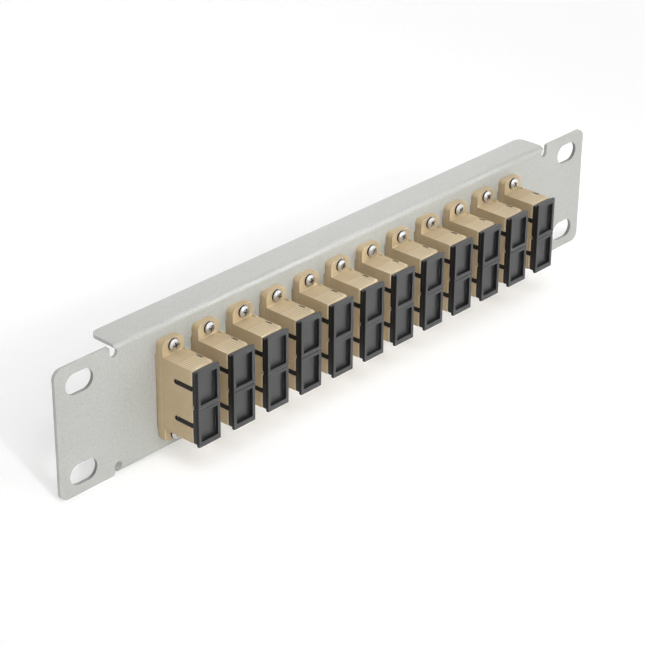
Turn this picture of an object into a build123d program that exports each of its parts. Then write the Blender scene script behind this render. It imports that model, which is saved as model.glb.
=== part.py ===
from build123d import *
import os

# Row frame: +X along the panel, +Z up, -Y out of the front. Y = 0 is the rear of the sheet,
# which seats on the rack, and the origin is the centre of the four rack slots. Millimetres.

# Panel sheet
panel_width = 254.0
panel_height = 44.4
sheet = 1.2
bend_inner_radius = 0.8
ear_length = 21.7
flange_depth = 11.3
flange_corner_radius = 3.0
ear_corner_radius = 3.0
ear_inner_corner_radius = 0.8
relief_radius = 1.5
relief_depth = 4.2
relief_width = 1.9

# Rack slots, one pair on each ear
slot_from_end = 9.5
slot_from_edge = 6.8
slot_length = 10.8
slot_height = 7.1

# Row of duplex adapters
adapter_count = 12
adapter_pitch = 15.0
body_width = 9.0
body_height = 25.2
half_length = 14.0
body_rim_chamfer = 0.3
lug_thickness = 3.0
lug_height = 34.8
lug_corner_radius = 1.8
cutout_gap = 0.35

# Ports, one above the other
port_pitch = 12.7
port_width = 7.4
port_height = 9.0
key_height = 1.6
key_length = 7.75

# Short slot sunk in the top of the front housing, near its right edge
dash_size = (0.45, 2.0, 0.4)
dash_inset = 0.5
dash_from_lug = 6.6

# Nub on the left rim that sets the cap the right way up
nub_width = 0.6
nub_reach = 0.5
nub_height = 1.2

# Latch inserts inside each port
insert_gap = 0.05
insert_base = 0.8
hook_width = 4.15
hook_thickness = 0.6
hook_offset = 2.95
hook_length = 8.6
barb_reach = 0.35
barb_length = 1.3

# Duplex dust caps
cap_width = 9.2
cap_height = 26.2
cap_flange = 1.05
cap_back = 1.4
cap_back_height = 24.6
cap_side_rim = 1.1
cap_end_rim = 1.7
cap_web = 2.7
cap_recess = 1.2
cap_seat_gap = 0.3
plug_gap = 0.1
plug_wall = 0.6
plug_length = 7.5
key_gap = 0.05
groove_width = 0.5
groove_depth = 0.3

# Worked out from the sizes above
half_height = panel_height / 2
bend_outer_radius = bend_inner_radius + sheet
bend_line = half_height - bend_outer_radius
front_face = -sheet
middle_plane = front_face - lug_thickness / 2
ear_inner = panel_width / 2 - ear_length
flange_length = 2 * (ear_inner - relief_width)
slot_x = panel_width / 2 - slot_from_end
slot_z = half_height - slot_from_edge
relief_x = ear_inner - relief_radius
relief_z = half_height - relief_depth + relief_radius
cutout_width = body_width + 2 * cutout_gap
cutout_height = body_height + 2 * cutout_gap
wall = (body_width - port_width) / 2
port_heights = (-port_pitch / 2, port_pitch / 2)
adapter_places = [(i - (adapter_count - 1) / 2) * adapter_pitch for i in range(adapter_count)]


def block(width, depth, height, x=0.0, y=0.0, z=0.0):
    """Box centred on x and z, with its front face at y."""
    return Pos(x, y, z) * Box(width, depth, height, align=(Align.CENTER, Align.MIN, Align.CENTER))


def upright(outline, start, length, x=0.0, z=0.0):
    """Outline drawn in X and Z, given its depth backwards from y = start."""
    return Pos(x, start + length, z) * extrude(Plane.XZ * outline, amount=length)


def rack_panel():
    """Folded sheet: ears, web, flanges, relief notches, slots and adapter cut-outs."""
    flange_back = front_face + flange_depth
    outside = RectangleRounded(2 * flange_depth, panel_height, bend_outer_radius)
    inside = RectangleRounded(
        2 * (flange_depth - sheet), panel_height - 2 * sheet, bend_inner_radius
    )
    front_half = Pos(-flange_depth / 2, 0) * Rectangle(flange_depth, panel_height)
    section = Pos(flange_back, 0) * ((outside - inside) & front_half)
    channel = extrude(Plane.YZ * section, amount=flange_length / 2, both=True)
    channel = fillet(
        channel.edges().filter_by(Axis.Z).group_by(Axis.Y)[-1], flange_corner_radius
    )

    # The ears are full height, and the web between them ends at the bends.
    plate = RectangleRounded(panel_width, panel_height, ear_corner_radius)
    beyond_bend = half_height - bend_line
    for side in (-1, 1):
        edge_strip = Rectangle(2 * ear_inner, beyond_bend)
        plate -= Pos(0, side * (bend_line + beyond_bend / 2)) * edge_strip
    panel = upright(plate, front_face, sheet) + channel

    # Each notch is a round hole on the bend line, open to the sheet's edge.
    for x_side in (-1, 1):
        for z_side in (-1, 1):
            panel -= upright(
                Circle(relief_radius), front_face, bend_outer_radius,
                x_side * relief_x, z_side * relief_z,
            )
            panel -= block(
                relief_width, bend_outer_radius, half_height - relief_z,
                x_side * (ear_inner - relief_width / 2), front_face,
                z_side * (half_height + relief_z) / 2,
            )
            panel -= upright(
                SlotOverall(slot_length, slot_height), front_face, sheet,
                x_side * slot_x, z_side * slot_z,
            )
    inner_corners = [
        edge for edge in panel.edges().filter_by(Axis.Y)
        if abs(abs(edge.center().X) - ear_inner) < 0.01 and abs(edge.center().Z) > bend_line
    ]
    panel = fillet(inner_corners, ear_inner_corner_radius)

    for x in adapter_places:
        panel -= block(cutout_width, sheet, cutout_height, x, front_face)
    return panel


def adapter_housing():
    """Duplex housing, its flange centred on y = 0 and open ports at both ends."""
    housing = block(body_width, 2 * half_length, body_height, y=-half_length)
    front_rim = housing.faces().sort_by(Axis.Y)[0].edges()
    housing = chamfer(front_rim, body_rim_chamfer)
    lug = block(body_width, lug_thickness, lug_height, y=-lug_thickness / 2)
    housing += fillet(lug.edges().filter_by(Axis.Y), lug_corner_radius)
    for z in port_heights:
        housing -= block(port_width, 2 * half_length, port_height, y=-half_length, z=z)
        slot = key_slot(z)
        housing -= slot + to_rear(slot)
    nub_x = (nub_width - body_width) / 2
    nub = block(nub_width, 2 * nub_reach, nub_height, nub_x, -half_length - nub_reach)
    return housing + nub + to_rear(nub) - top_dash()


def key_slot(z):
    """Slot in the left wall for the key of a connector or cap, round at its end."""
    wall_x = -(body_width + port_width) / 4
    straight = key_length - key_height / 2
    slot = block(wall, straight, key_height, wall_x, -half_length, z)
    end = Pos(wall_x, -half_length + straight, z) * Rot(0, 90, 0) * Cylinder(key_height / 2, wall)
    return slot + end


def top_dash():
    """Short slot along the top, ahead of the flange."""
    width, depth, height = dash_size
    front = -lug_thickness / 2 - dash_from_lug - depth / 2
    return block(
        width, depth, 2 * height, body_width / 2 - dash_inset - width / 2, front, body_height / 2
    )


def to_rear(piece):
    """The same form facing the rear, with its keys still on the left."""
    return mirror(piece, about=Plane.XZ)


def latch_insert():
    """Two latch hooks on a base that seats at the middle of the port."""
    insert = block(
        port_width - 2 * insert_gap, insert_base, port_height - 2 * insert_gap, y=-insert_base
    )
    hook = Polygon(
        (0, hook_offset),
        (0, hook_offset + hook_thickness),
        (-hook_length, hook_offset + hook_thickness),
        (-hook_length, hook_offset),
        (barb_length / 2 - hook_length, hook_offset - barb_reach),
        (barb_length - hook_length, hook_offset),
        align=None,
    )
    arm = extrude(Plane.YZ * hook, amount=hook_width / 2, both=True)
    return insert + arm + mirror(arm, about=Plane.XY)


def dust_cap():
    """Duplex cap: recessed flange on a lower back, two hollow plugs and their keys."""
    seat = -half_length - cap_seat_gap
    face = seat - cap_back - cap_flange
    cap = block(cap_width, cap_flange, cap_height, y=face)
    cap += block(cap_width, cap_back, cap_back_height, y=face + cap_flange)
    recess_width = cap_width - 2 * cap_side_rim
    recess_height = (cap_height - 2 * cap_end_rim - cap_web) / 2
    recess_z = (cap_web + recess_height) / 2
    plug_width = port_width - 2 * plug_gap
    plug_height = port_height - 2 * plug_gap
    for z in port_heights:
        plug = block(plug_width, plug_length, plug_height, y=seat, z=z)
        plug -= block(
            plug_width - 2 * plug_wall, plug_length, plug_height - 2 * plug_wall, y=seat, z=z
        )
        cap += plug + cap_key(seat, z)
    for z in (-recess_z, recess_z):
        cap -= block(recess_width, cap_recess, recess_height, y=face, z=z)
    groove = Polygon(
        (face, groove_width / 2), (face, -groove_width / 2), (face + groove_depth, 0), align=None
    )
    cap -= extrude(Plane.YZ * groove, amount=cap_width / 2, both=True)
    notch_front = -half_length - nub_reach - 2 * key_gap
    cap -= block(
        cap_width - body_width + 2 * (nub_width + key_gap), seat - notch_front,
        nub_height + 4 * key_gap, -body_width / 2, notch_front,
    )
    return cap


def cap_key(seat, z):
    """Key rib that fills the straight part of the slot in the left wall."""
    depth = wall + plug_gap - key_gap
    middle = -(port_width / 2 - plug_gap + depth / 2)
    return block(depth, key_length - key_height / 2, key_height - 2 * key_gap, middle, seat, z)


def write(name, shape):
    export_step(shape, f"parts/{name}.step")


os.makedirs("parts", exist_ok=True)

front_cap = dust_cap()
repeated = {
    "adapter_housing": adapter_housing(),
    "front_dust_cap": front_cap,
    "rear_dust_cap": to_rear(front_cap),
}
insert = latch_insert()
inserts = {"latch_inserts_front": insert, "latch_inserts_rear": to_rear(insert)}

write("rack_panel", rack_panel())
for name, shape in repeated.items():
    for number, x in enumerate(adapter_places, start=1):
        write(f"{name}_{number:02d}", Pos(x, middle_plane, 0) * shape)
for name, shape in inserts.items():
    places = [Pos(x, middle_plane, z) for x in adapter_places for z in port_heights]
    write(name, Compound(children=[place * shape for place in places]))
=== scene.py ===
import math

import bmesh
import bpy
from mathutils import Matrix, Vector


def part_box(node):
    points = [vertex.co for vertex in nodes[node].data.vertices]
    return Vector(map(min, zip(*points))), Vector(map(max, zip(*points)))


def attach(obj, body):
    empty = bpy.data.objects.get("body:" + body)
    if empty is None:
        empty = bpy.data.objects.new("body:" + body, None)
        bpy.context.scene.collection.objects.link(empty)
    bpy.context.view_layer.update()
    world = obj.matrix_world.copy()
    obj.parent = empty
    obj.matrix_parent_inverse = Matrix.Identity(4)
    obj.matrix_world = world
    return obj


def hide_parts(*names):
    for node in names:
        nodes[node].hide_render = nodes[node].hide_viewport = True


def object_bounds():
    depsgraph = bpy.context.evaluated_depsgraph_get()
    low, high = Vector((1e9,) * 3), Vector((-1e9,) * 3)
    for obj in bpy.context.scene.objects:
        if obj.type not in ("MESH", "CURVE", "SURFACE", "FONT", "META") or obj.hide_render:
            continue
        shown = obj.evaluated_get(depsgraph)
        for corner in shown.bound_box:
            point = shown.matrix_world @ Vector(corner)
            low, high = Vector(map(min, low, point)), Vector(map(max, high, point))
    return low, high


# Fibre patch panel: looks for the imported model, in metres, -Y is the front
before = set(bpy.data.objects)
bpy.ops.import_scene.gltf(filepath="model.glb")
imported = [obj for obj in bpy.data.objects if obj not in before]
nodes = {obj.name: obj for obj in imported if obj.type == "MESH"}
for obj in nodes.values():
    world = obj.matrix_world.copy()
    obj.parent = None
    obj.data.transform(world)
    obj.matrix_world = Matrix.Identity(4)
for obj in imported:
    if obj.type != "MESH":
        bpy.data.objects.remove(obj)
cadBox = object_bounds()
mainBody = "panel_assembly"
print("frame loaded:", len(nodes), "nodes")


def namesWith(part):
    return sorted(name for name in nodes if part in name)


def lugFaces(name):  # Y of the mounting flange's two faces, above the body
    mesh = nodes[name].data
    top = max(vert.co.z for vert in mesh.vertices)
    depths = [vert.co.y for vert in mesh.vertices if vert.co.z > top - 0.001]
    return min(depths), max(depths)


def middleOf(name):
    low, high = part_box(name)
    return [(a + b) / 2 for a, b in zip(low, high)]


housingNames = namesWith("adapter_housing_")
capNames = namesWith("_dust_cap_")
insertNames = namesWith("latch_inserts_")
lugFront, lugBack = lugFaces(housingNames[0])
middle = (lugFront + lugBack) / 2  # mid-plane of the adapters
places = [middleOf(name)[0] for name in housingNames]
pitch = (places[-1] - places[0]) / (len(places) - 1)
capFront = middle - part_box("front_dust_cap_01")[0][1]
print("layout:", len(places), "adapters, mid-plane", round(middle * 1000, 2), "mm")


# Shader building: sockets that add their own Math nodes
class Value:
    def __init__(self, shader, socket):
        self.shader = shader
        self.socket = socket

    def maths(self, operation, *terms):
        return self.shader.add("ShaderNodeMath", {"operation": operation}, dict(enumerate(terms)))

    def __add__(self, other):
        return self.maths("ADD", self, other)

    def __sub__(self, other):
        return self.maths("SUBTRACT", self, other)

    def __rsub__(self, other):
        return self.maths("SUBTRACT", other, self)

    def __mul__(self, other):
        return self.maths("MULTIPLY", self, other)

    def __truediv__(self, other):
        return self.maths("DIVIDE", self, other)

    def __rtruediv__(self, other):
        return self.maths("DIVIDE", other, self)

    __radd__ = __add__
    __rmul__ = __mul__

    def __lt__(self, other):
        return self.maths("LESS_THAN", self, other)

    def __gt__(self, other):
        return self.maths("GREATER_THAN", self, other)

    def ramp(self, low, high):  # 0 at low, 1 at high
        settings = {"clamp": True, "interpolation_type": "SMOOTHSTEP"}
        return self.shader.add("ShaderNodeMapRange", settings, {0: self, 1: low, 2: high})

    def size(self):
        return self.maths("ABSOLUTE", self)

    def sine(self):
        return self.maths("SINE", self)

    def power(self, exponent):
        return self.maths("POWER", self, exponent)

    def largest(self, other):
        return self.maths("MAXIMUM", self, other)

    def side(self):
        return self.maths("SIGN", self)

    def fraction(self):
        return self.maths("FRACT", self)


class Shader:
    def __init__(self, name):
        self.material = bpy.data.materials.new(name)
        self.material.use_nodes = True
        self.tree = self.material.node_tree
        self.tree.nodes.clear()
        self.output = self.tree.nodes.new("ShaderNodeOutputMaterial")
        self.surface = self.tree.nodes.new("ShaderNodeBsdfPrincipled")
        self.tree.links.new(self.surface.outputs[0], self.output.inputs[0])
        self.place = self.add("ShaderNodeTexCoord", {}, {}, "Object")

    def add(self, kind, settings, values, result=0):
        node = self.tree.nodes.new(kind)
        for key, setting in settings.items():
            setattr(node, key, setting)
        for key, value in values.items():
            self.feed(node.inputs[key], value)
        return Value(self, node.outputs[result])

    def feed(self, socket, value):
        if isinstance(value, Value):
            self.tree.links.new(value.socket, socket)
        else:
            socket.default_value = value

    def noise(self, scale, detail, roughness=0.5):
        values = {"Vector": self.place, "Scale": scale, "Detail": detail, "Roughness": roughness}
        return self.add("ShaderNodeTexNoise", {}, values, "Fac")

    def axes(self, place=None):
        split = self.add("ShaderNodeSeparateXYZ", {}, {0: place or self.place})
        return [Value(self, output) for output in split.socket.node.outputs]

    def normals(self):  # how far the surface faces along X, Y and Z, without the sign
        return [part.size() for part in self.axes(self.add("ShaderNodeNewGeometry", {}, {}, "Normal"))]

    def mix(self, factor, first, second):
        return self.add("ShaderNodeMix", {"data_type": "RGBA"}, {0: factor, 6: first, 7: second}, 2)

    def bump(self, height, distance, strength):
        values = {"Height": height, "Distance": distance, "Strength": strength}
        return self.add("ShaderNodeBump", {}, values)

    def finish(self, **values):
        for key, value in values.items():
            self.feed(self.surface.inputs[key.replace("_", " ")], value)
        return self.material


def linear(red, green, blue):  # sRGB 0 to 255 as a shader colour
    def channel(value):
        value /= 255
        return value / 12.92 if value <= 0.04045 else ((value + 0.055) / 1.055) ** 2.4
    return (channel(red), channel(green), channel(blue), 1.0)


coat = {
    "colour": linear(180, 181, 176),
    "darker": linear(159, 160, 155),
    # painted highlight along the sheet's rounded cut edges
    "edge": linear(203, 204, 199),
    # painted shade on the cut walls of the slots
    "slotWallShade": linear(128, 129, 126),
    "slotArea": (0.106, 0.0195),  # beyond this x and within this z the sheet's cut walls are slots
    "endWall": 0.0005,  # the sheet's outer ends, which are no slots
    "edgeArea": (0.0015, 0.0225),  # y and z that hold the sheet's cut edges
    "edgeHighlightAmount": 0.7,
    "grain": 1500.0,  # orange peel, per metre
    "grainDepth": 0.00007,
    "roughness": 0.46,
    "gloss": 0.35,  # thin clear layer of the powder coat
    "glossRoughness": 0.17,
}


def makePowderCoat():
    shader = Shader("powder_coat_grey")
    peel = shader.noise(coat["grain"], 2.0, 0.6)
    specks = shader.noise(coat["grain"] * 2.1, 1.0)
    cloud = shader.noise(28.0, 3.0)
    tone = peel.ramp(0.3, 0.7) * 0.4 + specks.ramp(0.35, 0.65) * 0.35 + cloud * 0.25
    colour = shader.mix(tone, coat["darker"], coat["colour"])
    along = shader.normals()[1]
    x, y, z = (part.size() for part in shader.axes())
    slotX, slotZ = coat["slotArea"]
    edgeY, edgeZ = coat["edgeArea"]
    # painted highlight on the rounded cut edges
    rounded = along.ramp(0.15, 0.4) * along.ramp(0.96, 0.85)
    cutEdgeHighlight = rounded * (y < edgeY) * (z < edgeZ)
    flatZone = (x > slotX).largest(z < slotZ)
    # painted shade on the slots' cut walls, short of the sheet's outer ends
    slotWallShade = (along < 0.3) * (x > slotX) * (z < slotZ)
    slotShade = slotWallShade * (x < cadBox[1][0] - coat["endWall"])
    edgeHighlighted = shader.mix(cutEdgeHighlight * flatZone * coat["edgeHighlightAmount"], colour, coat["edge"])
    return shader.finish(
        Base_Color=shader.mix(slotShade, edgeHighlighted, coat["slotWallShade"]),
        Roughness=peel * 0.12 + (coat["roughness"] - 0.06),
        Coat_Weight=coat["gloss"],
        Coat_Roughness=coat["glossRoughness"],
        Normal=shader.bump(peel + specks * 0.4, coat["grainDepth"], 0.6),
    )


housing = {
    "colour": linear(188, 169, 136),
    "darker": linear(176, 156, 122),
    # painted highlight colour for the ridge crests and the rounded edges
    "rim": linear(217, 201, 170),
    "shaded": linear(44, 38, 30),
    "portHeight": 0.00635,  # centre of each port from the row's centre line
    "roughness": 0.42,
    "bodyHalf": 0.0045,
    "bodyHalfHeight": 0.0126,
    "ridgeZone": (0.0078, 0.0137),  # from the mid-plane
    "ridgePitch": 0.00098,
    "keySlotZone": (0.0055, 0.0138),  # from the mid-plane
    "keySlotHalf": 0.00105,
    "dash": (0.0034, 0.0041, -0.0102, -0.008),  # short slot in the top: its x and y limits
    "dashFoot": 0.0119,
}


def makeHousingPlastic():
    shader = Shader("beige_housing_plastic")
    flow = shader.noise(150.0, 3.0)
    grain = shader.noise(2600.0, 2.0)
    tone = flow.ramp(0.3, 0.7) * 0.6 + grain.ramp(0.3, 0.7) * 0.4
    colour = shader.mix(tone, housing["darker"], housing["colour"])
    ridges = ridgeHeight(shader)
    slots = shadedParts(shader)
    # painted highlight on the ridge crests and the rounded edges
    paintedHighlights = (ridges * 0.55).largest(edgeHighlights(shader) * (1.0 - slots) * 0.7)
    withHighlights = shader.mix(paintedHighlights, colour, housing["rim"])
    return shader.finish(
        Base_Color=shader.mix(slots, withHighlights, housing["shaded"]),
        Roughness=grain * 0.14 + (housing["roughness"] - 0.07),
        Normal=shader.bump(ridges + grain * 0.12, 0.00012, 0.8),
    )


def ridgeHeight(shader):  # fine ridges across the top and bottom near each end, for the bump and for a painted highlight on their crests
    y = shader.axes()[1]
    level = shader.normals()[2] > 0.9
    fromMiddle = (y - middle).size()
    start, end = housing["ridgeZone"]
    zone = (fromMiddle > start) * (fromMiddle < end)
    wave = (fromMiddle * (2 * math.pi / housing["ridgePitch"])).sine()
    return (wave * 0.5 + 0.5).power(3.0) * level * zone


def shadedParts(shader):  # painted shade on the walls of the key slots, and in the short slot in the top
    across = shader.normals()[0]
    x, y = fromBody(shader), shader.axes()[1] - middle
    z = shader.axes()[2]
    nearSlot = (z.size() - housing["portHeight"]).size() < housing["keySlotHalf"]
    start, end = housing["keySlotZone"]
    slot = nearSlot * (y.size() > start) * (y.size() < end) * (across < 0.85)
    left, right, front, back = housing["dash"]
    dash = (x > left) * (x < right) * (y > front) * (y < back) * (z > housing["dashFoot"])
    return slot.largest(dash)


def fromBody(shader):  # x from the centre line of the adapter that it belongs to
    return ((shader.axes()[0] - places[0]) / pitch + 0.5).fraction() * pitch - pitch / 2


def edgeHighlights(shader):  # rounded edges, painted paler: a painted highlight along them
    across, along, upward = shader.normals()
    frontEdge = along.ramp(0.12, 0.35) * along.ramp(0.97, 0.86)
    onBody = shader.axes()[2].size() < housing["bodyHalfHeight"] + 0.0001
    longEdge = across.ramp(0.2, 0.45) * upward.ramp(0.2, 0.45) * onBody
    return frontEdge.largest(longEdge)


cap = {
    "colour": linear(41, 41, 42),
    "darker": linear(32, 32, 33),
    "paintedFaceSheen": linear(57, 57, 58),  # painted sheen: the face lighter than the sides; it is also smoother than the sides
    # painted shade on the sides
    "paintedSideShade": linear(25, 25, 26),
    "shadedColour": linear(8, 8, 9),
    "recess": 0.0012,  # depth of the two windows in the face
    "plugEnd": 0.0145,  # from the mid-plane: nearer are the plugs, keys and seat
    "shadeRight": (0.0003, 0.0031),  # the windows' painted shade, x from the body's centre line
    "shadeFoot": (-0.0018, -0.0052),  # and z from the port's centre
    "shadeAmount": 0.82,
    "roughness": 0.4,
}


def makeCapPlastic():
    shader = Shader("black_cap_plastic")
    grain = shader.noise(1800.0, 3.0, 0.6)
    flow = shader.noise(90.0, 2.0)
    colour = shader.mix(flow.ramp(0.3, 0.7) * 0.6 + grain * 0.4, cap["darker"], cap["colour"])
    across, along = shader.normals()[:2]
    y, z = shader.axes()[1:]
    fromMiddle = (y - middle).size()
    floor = capFront - cap["recess"]
    face = (fromMiddle > floor - 0.00005) * along.ramp(0.6, 0.9)
    walls = (fromMiddle > floor + 0.00005) * (along < 0.3) * (z.size() < housing["bodyHalfHeight"])
    shaded = walls.largest(fromMiddle < cap["plugEnd"])
    # painted shade on the sides and a painted sheen on the face
    sideShaded = shader.mix(across.ramp(0.6, 0.9), colour, cap["paintedSideShade"])
    faced = shader.mix(face, sideShaded, cap["paintedFaceSheen"])
    faced = shader.mix(windowShade(shader, fromMiddle < floor + 0.0002), faced, cap["shadedColour"])
    return shader.finish(
        Base_Color=shader.mix(shaded, faced, cap["shadedColour"]),
        Roughness=grain * 0.16 + (cap["roughness"] - 0.08) - face * 0.04 + shaded * 0.25,
        Normal=shader.bump(grain, 0.00002, 0.5),
    )


def windowShade(shader, onFloor):  # darker towards the right and the foot of each window
    z = shader.axes()[2]
    fromWindow = z - z.side() * housing["portHeight"]
    right = fromBody(shader).ramp(*cap["shadeRight"])
    foot = fromWindow.ramp(*cap["shadeFoot"])
    return right.largest(foot) * onFloor * cap["shadeAmount"]


insert = {
    "colour": linear(216, 212, 200),
    "darker": linear(205, 200, 186),
    "shaded": linear(58, 52, 42),
    "shadedDepth": 0.0016,  # from the mid-plane: the foot of the port, always in shade
}


def makeInsertPlastic():
    shader = Shader("natural_insert_plastic")
    grain = shader.noise(2200.0, 2.0)
    colour = shader.mix(grain.ramp(0.3, 0.7), insert["darker"], insert["colour"])
    inDepth = (shader.axes()[1] - middle).size() < insert["shadedDepth"]
    return shader.finish(
        Base_Color=shader.mix(inDepth, colour, insert["shaded"]),
        Roughness=grain * 0.1 + 0.38,
        Normal=shader.bump(grain, 0.00001, 0.4),
    )


def makeCeramic():
    shader = Shader("white_sleeve_ceramic")
    cloud = shader.noise(900.0, 2.0)
    colour = shader.mix(cloud, linear(233, 232, 226), linear(242, 241, 236))
    return shader.finish(Base_Color=colour, Roughness=cloud * 0.06 + 0.12)


plating = {
    "bright": linear(226, 226, 226),
    "haze": linear(200, 200, 200),
    "sides": linear(52, 50, 46),  # painted shade on the head's side, below the crown
}


def makeScrewPlating():
    shader = Shader("bright_screw_plating")
    haze = shader.noise(1400.0, 3.0)
    scuffs = shader.noise(5200.0, 4.0, 0.7)
    colour = shader.mix(haze, plating["haze"], plating["bright"])
    # painted shade on the head's side below the crown
    sides = shader.normals()[1].ramp(0.5, 0.25)
    return shader.finish(
        Base_Color=shader.mix(sides, colour, plating["sides"]),
        Metallic=1.0,
        Roughness=haze * 0.12 + scuffs * 0.08 + 0.2,
        Normal=shader.bump(scuffs, 0.000006, 0.5),
    )


def makeNutPlating():
    shader = Shader("zinc_nut_plating")
    haze = shader.noise(1100.0, 3.0)
    colour = shader.mix(haze, linear(168, 170, 170), linear(196, 197, 196))
    return shader.finish(
        Base_Color=colour, Metallic=1.0, Roughness=haze * 0.2 + 0.25, Normal=shader.bump(haze, 0.00001, 0.4)
    )


materials = {
    "powder_coat": makePowderCoat(),
    "housing_plastic": makeHousingPlastic(),
    "cap_plastic": makeCapPlastic(),
    "insert_plastic": makeInsertPlastic(),
    "ceramic": makeCeramic(),
    "screw_plating": makeScrewPlating(),
    "nut_plating": makeNutPlating(),
}
print("materials made:", len(materials))


def addPiece(name, mesh, material, body=mainBody):
    obj = bpy.data.objects.new(name, mesh)
    bpy.context.scene.collection.objects.link(obj)
    mesh.materials.clear()
    mesh.materials.append(material)
    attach(obj, body)
    return obj


def cleanCopy(nodeName, cut=None):  # the CAD solid as whole faces, welded
    mesh = nodes[nodeName].data.copy()
    if "custom_normal" in mesh.attributes:
        mesh.attributes.remove(mesh.attributes["custom_normal"])
    work = bmesh.new()
    work.from_mesh(mesh)
    bmesh.ops.remove_doubles(work, verts=work.verts, dist=1e-6)
    bmesh.ops.dissolve_limit(work, angle_limit=math.radians(0.5), verts=work.verts, edges=work.edges)
    weights = work.edges.layers.float.new("bevel_weight_edge")
    for edge in work.edges:
        first, second = (vert.co for vert in edge.verts)
        bend = edge.calc_face_angle_signed(0.0)
        inner = bend < 0 and abs(first.y - second.y) > 1e-6  # corners inside ports and windows
        if abs(bend) > math.radians(40) and not inner:
            edge[weights] = 1.0
    if cut:
        cut(work)
    smoothFaces(work, 32)
    work.to_mesh(mesh)
    work.free()
    return mesh


def smoothFaces(work, angle):
    work.normal_update()
    for face in work.faces:
        face.smooth = True
    for edge in work.edges:
        edge.smooth = edge.calc_face_angle(0.0) < math.radians(angle)


edgeRadius = 0.00022


def roundEdges(obj):  # the outer edges only
    bevel = obj.modifiers.new("edge_rounding", "BEVEL")
    bevel.width = edgeRadius
    bevel.segments = 2
    bevel.limit_method = "WEIGHT"
    bevel.use_clamp_overlap = True
    bevel.harden_normals = True


def cutAcross(work, place, across):  # new edges where a plane meets the faces
    everything = list(work.verts) + list(work.edges) + list(work.faces)
    bmesh.ops.bisect_plane(work, geom=everything, dist=1e-7, plane_co=place, plane_no=across)


sheet = {"thickness": 0.0012, "bendRadius": 0.002, "hold": 0.0002}


def holdBends(work):  # loops beside the bends keep the flat faces evenly shaded
    bendZ = cadBox[1][2] - sheet["bendRadius"] - sheet["hold"]
    bendY = sheet["bendRadius"] - sheet["thickness"] + sheet["hold"]
    cutAcross(work, (0, 0, bendZ), (0, 0, 1))
    cutAcross(work, (0, 0, -bendZ), (0, 0, 1))
    cutAcross(work, (0, bendY, 0), (0, 1, 0))


seam = {"halfWidth": 0.00003, "depth": 0.00004, "fromMiddle": -0.0004}


def seamCut(middleX):  # weld line around the flange where the two halves meet
    seamY = middle + seam["fromMiddle"]

    def cut(work):
        for shift in (-seam["halfWidth"], 0.0, seam["halfWidth"]):
            cutAcross(work, (0, seamY + shift, 0), (0, 1, 0))
        work.normal_update()
        moves = []
        for vert in work.verts:
            beside = abs(vert.co.x - middleX) > housing["bodyHalf"] - 1e-5
            above = abs(vert.co.z) > housing["bodyHalfHeight"]
            if abs(vert.co.y - seamY) < 1e-6 and (beside or above):
                inward = Vector((-vert.normal.x, 0.0, -vert.normal.z)).normalized()
                moves.append((vert, inward * seam["depth"]))
        for vert, move in moves:
            vert.co += move
    return cut


def dressNodes():
    panel = addPiece("folded_panel_sheet", cleanCopy("rack_panel", holdBends), materials["powder_coat"])
    roundEdges(panel)
    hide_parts("rack_panel")
    for name, middleX in zip(housingNames, places):
        mesh = cleanCopy(name, seamCut(middleX))
        piece = addPiece("dressed_" + name, mesh, materials["housing_plastic"])
        roundEdges(piece)
        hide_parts(name)
    for name in capNames:
        body = name.replace("_dust_", "_")
        piece = addPiece("dressed_" + name, cleanCopy(name), materials["cap_plastic"], body)
        roundEdges(piece)
        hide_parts(name)
    for name in insertNames:
        for materialSlot in nodes[name].material_slots:
            materialSlot.material = materials["insert_plastic"]
    print("CAD solids dressed")


dressNodes()

rows = {
    "screwSpacing": 0.0308,
    "portSpacing": 2 * housing["portHeight"],
}


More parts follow.
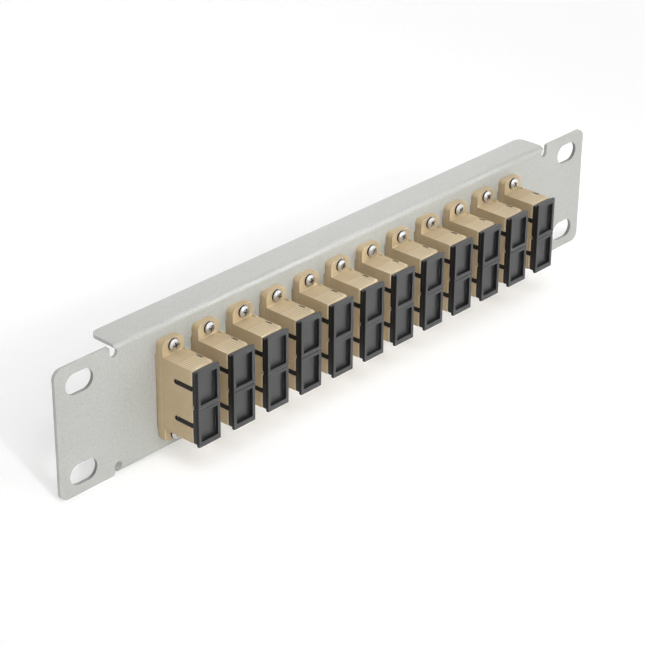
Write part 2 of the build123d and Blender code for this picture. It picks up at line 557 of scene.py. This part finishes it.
def repeatTree():  # a piece repeated in two rows along X
    tree = bpy.data.node_groups.new("two_rows_along_x", "GeometryNodeTree")
    sockets = (
        ("Piece", "INPUT", "NodeSocketObject"),
        ("Count", "INPUT", "NodeSocketInt"),
        ("Pitch", "INPUT", "NodeSocketFloat"),
        ("Row Spacing", "INPUT", "NodeSocketFloat"),
        ("Depth", "INPUT", "NodeSocketFloat"),
        ("Turn", "INPUT", "NodeSocketFloat"),
        ("Seed", "INPUT", "NodeSocketInt"),
        ("Finish", "INPUT", "NodeSocketMaterial"),
        ("Geometry", "OUTPUT", "NodeSocketGeometry"),
    )
    for name, way, kind in sockets:
        tree.interface.new_socket(name, in_out=way, socket_type=kind)
    entry = tree.nodes.new("NodeGroupInput")
    result = tree.nodes.new("NodeGroupOutput")

    def node(kind, settings=None, values=None):
        made = tree.nodes.new(kind)
        for key, setting in (settings or {}).items():
            setattr(made, key, setting)
        for key, value in (values or {}).items():
            if isinstance(value, bpy.types.NodeSocket):
                tree.links.new(value, made.inputs[key])
            else:
                made.inputs[key].default_value = value
        return made

    def maths(operation, first, second):
        return node("ShaderNodeMath", {"operation": operation}, {0: first, 1: second}).outputs[0]

    given = entry.outputs
    steps = maths("SUBTRACT", given["Count"], 1.0)
    startX = maths("MULTIPLY", maths("MULTIPLY", steps, given["Pitch"]), -0.5)
    startZ = maths("MULTIPLY", given["Row Spacing"], -0.5)
    start = node("ShaderNodeCombineXYZ", {}, {0: startX, 1: given["Depth"], 2: startZ})
    along = node("ShaderNodeCombineXYZ", {}, {0: given["Pitch"]})
    upward = node("ShaderNodeCombineXYZ", {}, {2: given["Row Spacing"]})
    line = {"Count": given["Count"], "Start Location": start.outputs[0], "Offset": along.outputs[0]}
    row = node("GeometryNodeMeshLine", {}, line)
    pair = node("GeometryNodeMeshLine", {}, {"Count": 2, "Offset": upward.outputs[0]})
    grid = node("GeometryNodeInstanceOnPoints", {}, {"Points": row.outputs[0], "Instance": pair.outputs[0]})
    points = node("GeometryNodeRealizeInstances", {}, {0: grid.outputs[0]})
    turn = node("FunctionNodeRandomValue", {"data_type": "FLOAT"}, {"Seed": given["Seed"]})
    turned = maths("MULTIPLY", turn.outputs[1], given["Turn"])
    spin = node("ShaderNodeCombineXYZ", {}, {1: turned})
    asRotation = node("FunctionNodeEulerToRotation", {}, {0: spin.outputs[0]})
    source = node("GeometryNodeObjectInfo", {}, {"Object": given["Piece"]})
    copies = {
        "Points": points.outputs[0],
        "Instance": source.outputs["Geometry"],
        "Rotation": asRotation.outputs[0],
    }
    placed = node("GeometryNodeInstanceOnPoints", {}, copies)
    solid = node("GeometryNodeRealizeInstances", {}, {0: placed.outputs[0]})
    painted = node("GeometryNodeSetMaterial", {}, {"Geometry": solid.outputs[0], "Material": given["Finish"]})
    tree.links.new(painted.outputs[0], result.inputs[0])
    return tree


twoRows = repeatTree()


def repeatPiece(name, mesh, finish, spacing, depth, turn=0.0, seed=0):
    pattern = bpy.data.objects.new(name + "_pattern", mesh)
    carrier = bpy.data.objects.new(name + "_rows", bpy.data.meshes.new(name + "_rows"))
    bpy.context.scene.collection.objects.link(pattern)
    bpy.context.scene.collection.objects.link(carrier)
    modifier = carrier.modifiers.new("rows", "NODES")
    modifier.node_group = twoRows
    inputs = {
        "Piece": pattern, "Count": len(places), "Pitch": pitch, "Row Spacing": spacing,
        "Depth": depth, "Turn": turn, "Seed": seed, "Finish": materials[finish],
    }
    for item in twoRows.interface.items_tree:
        if item.in_out == "INPUT":
            modifier[item.identifier] = inputs[item.name]
    carrier.update_tag()
    bpy.context.view_layer.update()
    result = bpy.data.meshes.new_from_object(carrier.evaluated_get(bpy.context.evaluated_depsgraph_get()))
    carrier.modifiers.remove(modifier)
    bpy.data.objects.remove(carrier)
    bpy.data.objects.remove(pattern)
    result.name = name
    return addPiece(name, result, materials[finish])


def smoothMesh(work, name, angle=35):
    bmesh.ops.remove_doubles(work, verts=work.verts, dist=1e-7)
    bmesh.ops.recalc_face_normals(work, faces=work.faces)
    smoothFaces(work, angle)
    mesh = bpy.data.meshes.new(name)
    work.to_mesh(mesh)
    work.free()
    return mesh


def lathe(profile, sides):  # profile of (radius, y) points, turned about Y
    work = bmesh.new()
    rings = []
    for radius, y in profile:
        if radius == 0:
            rings.append([work.verts.new((0, y, 0))] * sides)
        else:
            angles = [2 * math.pi * step / sides for step in range(sides)]
            rings.append([work.verts.new((radius * math.cos(a), y, radius * math.sin(a))) for a in angles])
    for low, high in zip(rings, rings[1:]):
        for step in range(sides):
            corners = [low[step], low[(step + 1) % sides], high[(step + 1) % sides], high[step]]
            corners = list(dict.fromkeys(corners))
            if len(corners) > 2:
                work.faces.new(corners)
    return work


screw = {
    "headRadius": 0.0021,
    "headHeight": 0.0013,
    "rim": 0.00035,
    "crown": 3.0,  # higher is flatter
    "crossRadius": 0.0011,
    "crossWidth": 0.00042,
    "crossDepth": 0.0009,
    "crossTaper": (1.15, 0.62, 0.8),  # scale at the mouth, and of reach and width at the floor
    "crossAbove": 0.0003,  # how far the cutter stands out of the head
    "shaftRadius": 0.001,
    "tip": (0.0003, 0.7),  # length and scale of the pointed end
    "tail": 0.0022,  # reach behind the sheet
    "sides": 40,
    "steps": 9,  # rings across the crown
}


def domeHeight(radius):  # how far the head stands out at a radius
    crown = screw["headHeight"] - screw["rim"]
    share = min(1.0, radius / screw["headRadius"])
    return screw["rim"] + crown * math.sqrt(1 - share ** screw["crown"])


def makeScrewHead():
    head, shaft = screw["headRadius"], screw["shaftRadius"]
    radii = [0.0] + [head * step / screw["steps"] for step in range(1, screw["steps"])]
    profile = [(radius, -domeHeight(radius)) for radius in radii]
    profile += [(head, -screw["rim"]), (head, 0.0), (shaft, 0.0)]
    end = screw["tail"] - lugFront
    tipLength, tipScale = screw["tip"]
    profile += [(shaft, end - tipLength), (shaft * tipScale, end), (0.0, end)]
    solid = bpy.data.objects.new("screw_blank", smoothMesh(lathe(profile, screw["sides"]), "screw_blank"))
    cutter = bpy.data.objects.new("cross_cutter", makeCrossCutter())
    for obj in (solid, cutter):
        bpy.context.scene.collection.objects.link(obj)
    cut = solid.modifiers.new("cross_recess", "BOOLEAN")
    cut.object = cutter
    cut.solver = "EXACT"
    bpy.context.view_layer.update()
    mesh = bpy.data.meshes.new_from_object(solid.evaluated_get(bpy.context.evaluated_depsgraph_get()))
    bpy.data.objects.remove(solid)
    bpy.data.objects.remove(cutter)
    mesh.name = "screw_with_recess"
    mesh.materials.clear()
    mesh.set_sharp_from_angle(angle=math.radians(35))
    return mesh


def makeCrossCutter():  # tapered cross, wide at the mouth
    work = bmesh.new()
    reach = screw["crossRadius"]
    half = screw["crossWidth"] / 2
    outline = []
    for quarter in range(4):
        turn = Matrix.Rotation(quarter * math.pi / 2, 2)
        for x, z in ((reach, -half), (reach, half), (half, half)):
            outline.append(turn @ Vector((x, z)))
    atMouth, floorReach, floorWidth = screw["crossTaper"]
    mouthY = -screw["headHeight"] - screw["crossAbove"]
    floorY = mouthY + screw["crossAbove"] + screw["crossDepth"]
    mouth = [work.verts.new((p.x * atMouth, mouthY, p.y * atMouth)) for p in outline]
    floor = [work.verts.new((p.x * floorReach, floorY, p.y * floorWidth)) for p in outline]
    work.faces.new(mouth)
    work.faces.new(floor)
    count = len(outline)
    for step in range(count):
        after = (step + 1) % count
        work.faces.new([mouth[step], mouth[after], floor[after], floor[step]])
    return smoothMesh(work, "cross_cutter", angle=20)


nut = {"flats": 0.004, "thickness": 0.0016, "bore": 0.00105, "chamfer": 0.00018, "sides": 24}


def makeNut():
    work = bmesh.new()
    corner = nut["flats"] / math.sqrt(3)
    top, bore, chamfer, sides = nut["thickness"], nut["bore"], nut["chamfer"], nut["sides"]
    levels = (
        (corner - chamfer, 0.0), (corner, chamfer), (corner, top - chamfer),
        (corner - chamfer, top), (bore + chamfer, top), (bore, top - chamfer),
        (bore, chamfer), (bore + chamfer, 0.0), (corner - chamfer, 0.0),
    )
    rings = []
    for radius, y in levels:
        onHex = radius > bore * 1.5
        ring = []
        for step in range(sides):
            angle = 2 * math.pi * step / sides
            spread = math.cos(math.pi / 6) / math.cos((angle % (math.pi / 3)) - math.pi / 6)
            reach = radius * spread if onHex else radius
            ring.append(work.verts.new((reach * math.cos(angle), y, reach * math.sin(angle))))
        rings.append(ring)
    for low, high in zip(rings, rings[1:]):
        for step in range(sides):
            after = (step + 1) % sides
            work.faces.new([low[step], low[after], high[after], high[step]])
    return smoothMesh(work, "hexagon_nut", angle=25)


holder = {
    "radius": 0.0022,
    "bore": 0.00165,
    "mouth": 0.00135,
    "lip": 0.0005,
    "half": 0.007,
    "round": 0.0002,
    "sides": 36,
}


def makeSleeveHolder():
    outer, bore, mouth = holder["radius"], holder["bore"], holder["mouth"]
    end, lip, edge = holder["half"], holder["lip"], holder["round"]
    halfProfile = [
        (outer, 0.0), (outer, end - edge), (outer - edge, end), (mouth + edge, end),
        (mouth, end - edge), (mouth, end - lip), (bore, end - lip), (bore, 0.0),
    ]
    profile = halfProfile + [(radius, -y) for radius, y in reversed(halfProfile)]
    return smoothMesh(lathe(profile, holder["sides"]), "sleeve_holder", angle=30)


sleeve = {"radius": 0.0016, "bore": 0.00125, "half": 0.0057, "slit": 0.0004, "sides": 32}


def makeSleeve():
    work = bmesh.new()
    gap = sleeve["slit"] / (2 * sleeve["radius"])
    sides = sleeve["sides"]
    angles = [gap + (2 * math.pi - 2 * gap) * step / sides for step in range(sides + 1)]
    corners = (
        (sleeve["bore"], -sleeve["half"]), (sleeve["radius"], -sleeve["half"]),
        (sleeve["radius"], sleeve["half"]), (sleeve["bore"], sleeve["half"]),
    )
    sections = [
        [work.verts.new((radius * math.cos(a), y, radius * math.sin(a))) for radius, y in corners]
        for a in angles
    ]
    for low, high in zip(sections, sections[1:]):
        for side in range(4):
            after = (side + 1) % 4
            work.faces.new([low[side], low[after], high[after], high[side]])
    work.faces.new(sections[0])
    work.faces.new(sections[-1])
    return smoothMesh(work, "split_sleeve", angle=30)


rib = {
    "gusset": (0.0005, 0.0022, 0.0004),  # width, length, height, in the flange's corner
    "gussetInset": 0.0004,
    "strip": (0.0016, 0.0051, 0.0002),  # raised strip beside the edge, up to the end
    "stripInset": 0.0001,
    "stripFromFlange": 0.0071,
    "stripSlope": 0.1,  # height left on its inner side, where it slopes down into the top
    "rounding": 0.00008,
}


def makeRibs():
    work = bmesh.new()
    for key, inset, start in (
        ("gusset", rib["gussetInset"], 0.0), ("strip", rib["stripInset"], rib["stripFromFlange"])
    ):
        width, length, height = rib[key]
        x = housing["bodyHalf"] - inset - width / 2
        place = Matrix.Translation((x, -start - length / 2, 0.0))
        size = Matrix.Diagonal((width, length, 2 * height, 1.0))
        made = bmesh.ops.create_cube(work, size=1.0, matrix=place @ size)["verts"]
        for vert in made:
            if key == "strip" and vert.co.x < x:
                vert.co.z *= rib["stripSlope"]
    bmesh.ops.bevel(work, geom=work.edges, offset=rib["rounding"], segments=1, affect="EDGES")
    return smoothMesh(work, "housing_ribs", angle=50)


def addSmallPieces():
    flangeScrews = repeatPiece(
        "flange_screws", makeScrewHead(), "screw_plating", rows["screwSpacing"], lugFront, math.pi, 7
    )
    nuts = repeatPiece("flange_nuts", makeNut(), "nut_plating", rows["screwSpacing"], 0.0, math.pi, 3)
    holders = repeatPiece(
        "sleeve_holders", makeSleeveHolder(), "insert_plastic", rows["portSpacing"], middle
    )
    sleeves = repeatPiece("alignment_sleeves", makeSleeve(), "ceramic", rows["portSpacing"], middle)
    spread = 2 * housing["bodyHalfHeight"]
    ribs = repeatPiece("housing_ribs", makeRibs(), "housing_plastic", spread, lugFront)
    added = (flangeScrews, nuts, holders, sleeves, ribs)
    print("small pieces:", [len(piece.data.polygons) for piece in added])


addSmallPieces()

stage = {
    "floor": linear(238, 238, 238),
    "floorGlow": 0.21,  # a lit table, so that it stays white
    "floorSize": 6.0,
    "world": (1.0, 1.0, 1.0, 1.0),
    "worldStrength": 0.484,
    "lights": (  # place, size, power, spread in degrees
        ((-1.1, -1.95, 1.45), 1.0, 7.8, 180.0),
        ((1.5, -1.55, 0.9), 0.9, 9.9, 180.0),
        ((-0.2, -0.2, 2.5), 1.4, 11.3, 180.0),
        ((1.6, 1.4, 1.1), 1.6, 10.8, 180.0),
        ((-0.3, -0.95, 0.45), 0.25, 0.122, 16.0),  # low beam on the middle of the row
        ((0.1, -1.0, 1.6), 0.25, 0.022, 12.0),  # high beam on the middle of the row
        ((1.15, -1.35, 0.55), 0.14, 1.7, 180.0),  # small lamp that draws the line along the bend
    ),
}


def makeStage():
    work = bmesh.new()
    half = stage["floorSize"] / 2
    z = cadBox[0][2]
    corners = ((-half, -half, z), (half, -half, z), (half, half, z), (-half, half, z))
    work.faces.new([work.verts.new(corner) for corner in corners])
    mesh = bpy.data.meshes.new("floor")
    work.to_mesh(mesh)
    work.free()
    floor = bpy.data.objects.new("floor", mesh)
    bpy.context.scene.collection.objects.link(floor)
    shader = Shader("pale_floor")
    glow = {"Emission_Color": (1.0, 1.0, 1.0, 1.0), "Emission_Strength": stage["floorGlow"]}
    mesh.materials.append(shader.finish(Base_Color=stage["floor"], Roughness=0.9, **glow))
    world = bpy.data.worlds.new("studio")
    world.use_nodes = True
    background = world.node_tree.nodes["Background"]
    background.inputs["Color"].default_value = stage["world"]
    background.inputs["Strength"].default_value = stage["worldStrength"]
    bpy.context.scene.world = world
    for number, (place, size, power, spread) in enumerate(stage["lights"]):
        data = bpy.data.lights.new(f"softbox_{number}", "AREA")
        data.size = size
        data.energy = power
        data.spread = math.radians(spread)
        light = bpy.data.objects.new(f"softbox_{number}", data)
        bpy.context.scene.collection.objects.link(light)
        aim = (-Vector(place)).to_track_quat("-Z", "Y")
        light.matrix_world = Matrix.Translation(place) @ aim.to_matrix().to_4x4()
    bpy.context.scene.view_settings.view_transform = "Standard"


makeStage()

view = {
    "place": (-0.47416, -0.42595, 0.32390),
    "yaw": 47.371,  # from +Y towards +X
    "pitch": 27.659,  # downwards
    "roll": 0.445,
    "focal": 2155.48,  # in pixels of a 645 pixel frame
    "frame": 645,
    "sensor": 36.0,  # in millimetres
    "clip": (0.01, 20.0),
}


def makeCamera():
    data = bpy.data.cameras.new("photo_camera")
    data.sensor_width = view["sensor"]
    data.lens = view["focal"] / view["frame"] * view["sensor"]
    data.clip_start, data.clip_end = view["clip"]
    camera = bpy.data.objects.new("photo_camera", data)
    bpy.context.scene.collection.objects.link(camera)
    yaw, pitch, roll = (math.radians(view[key]) for key in ("yaw", "pitch", "roll"))
    ahead = Vector((math.sin(yaw) * math.cos(pitch), math.cos(yaw) * math.cos(pitch), -math.sin(pitch)))
    right = Vector((math.cos(yaw), -math.sin(yaw), 0))
    up = right.cross(ahead)
    rolledRight = right * math.cos(roll) + up * math.sin(roll)
    rolledUp = up * math.cos(roll) - right * math.sin(roll)
    columns = Matrix((rolledRight, rolledUp, -ahead)).transposed()
    camera.matrix_world = Matrix.Translation(view["place"]) @ columns.to_4x4()
    bpy.context.scene.camera = camera


makeCamera()
print("stage and camera set")
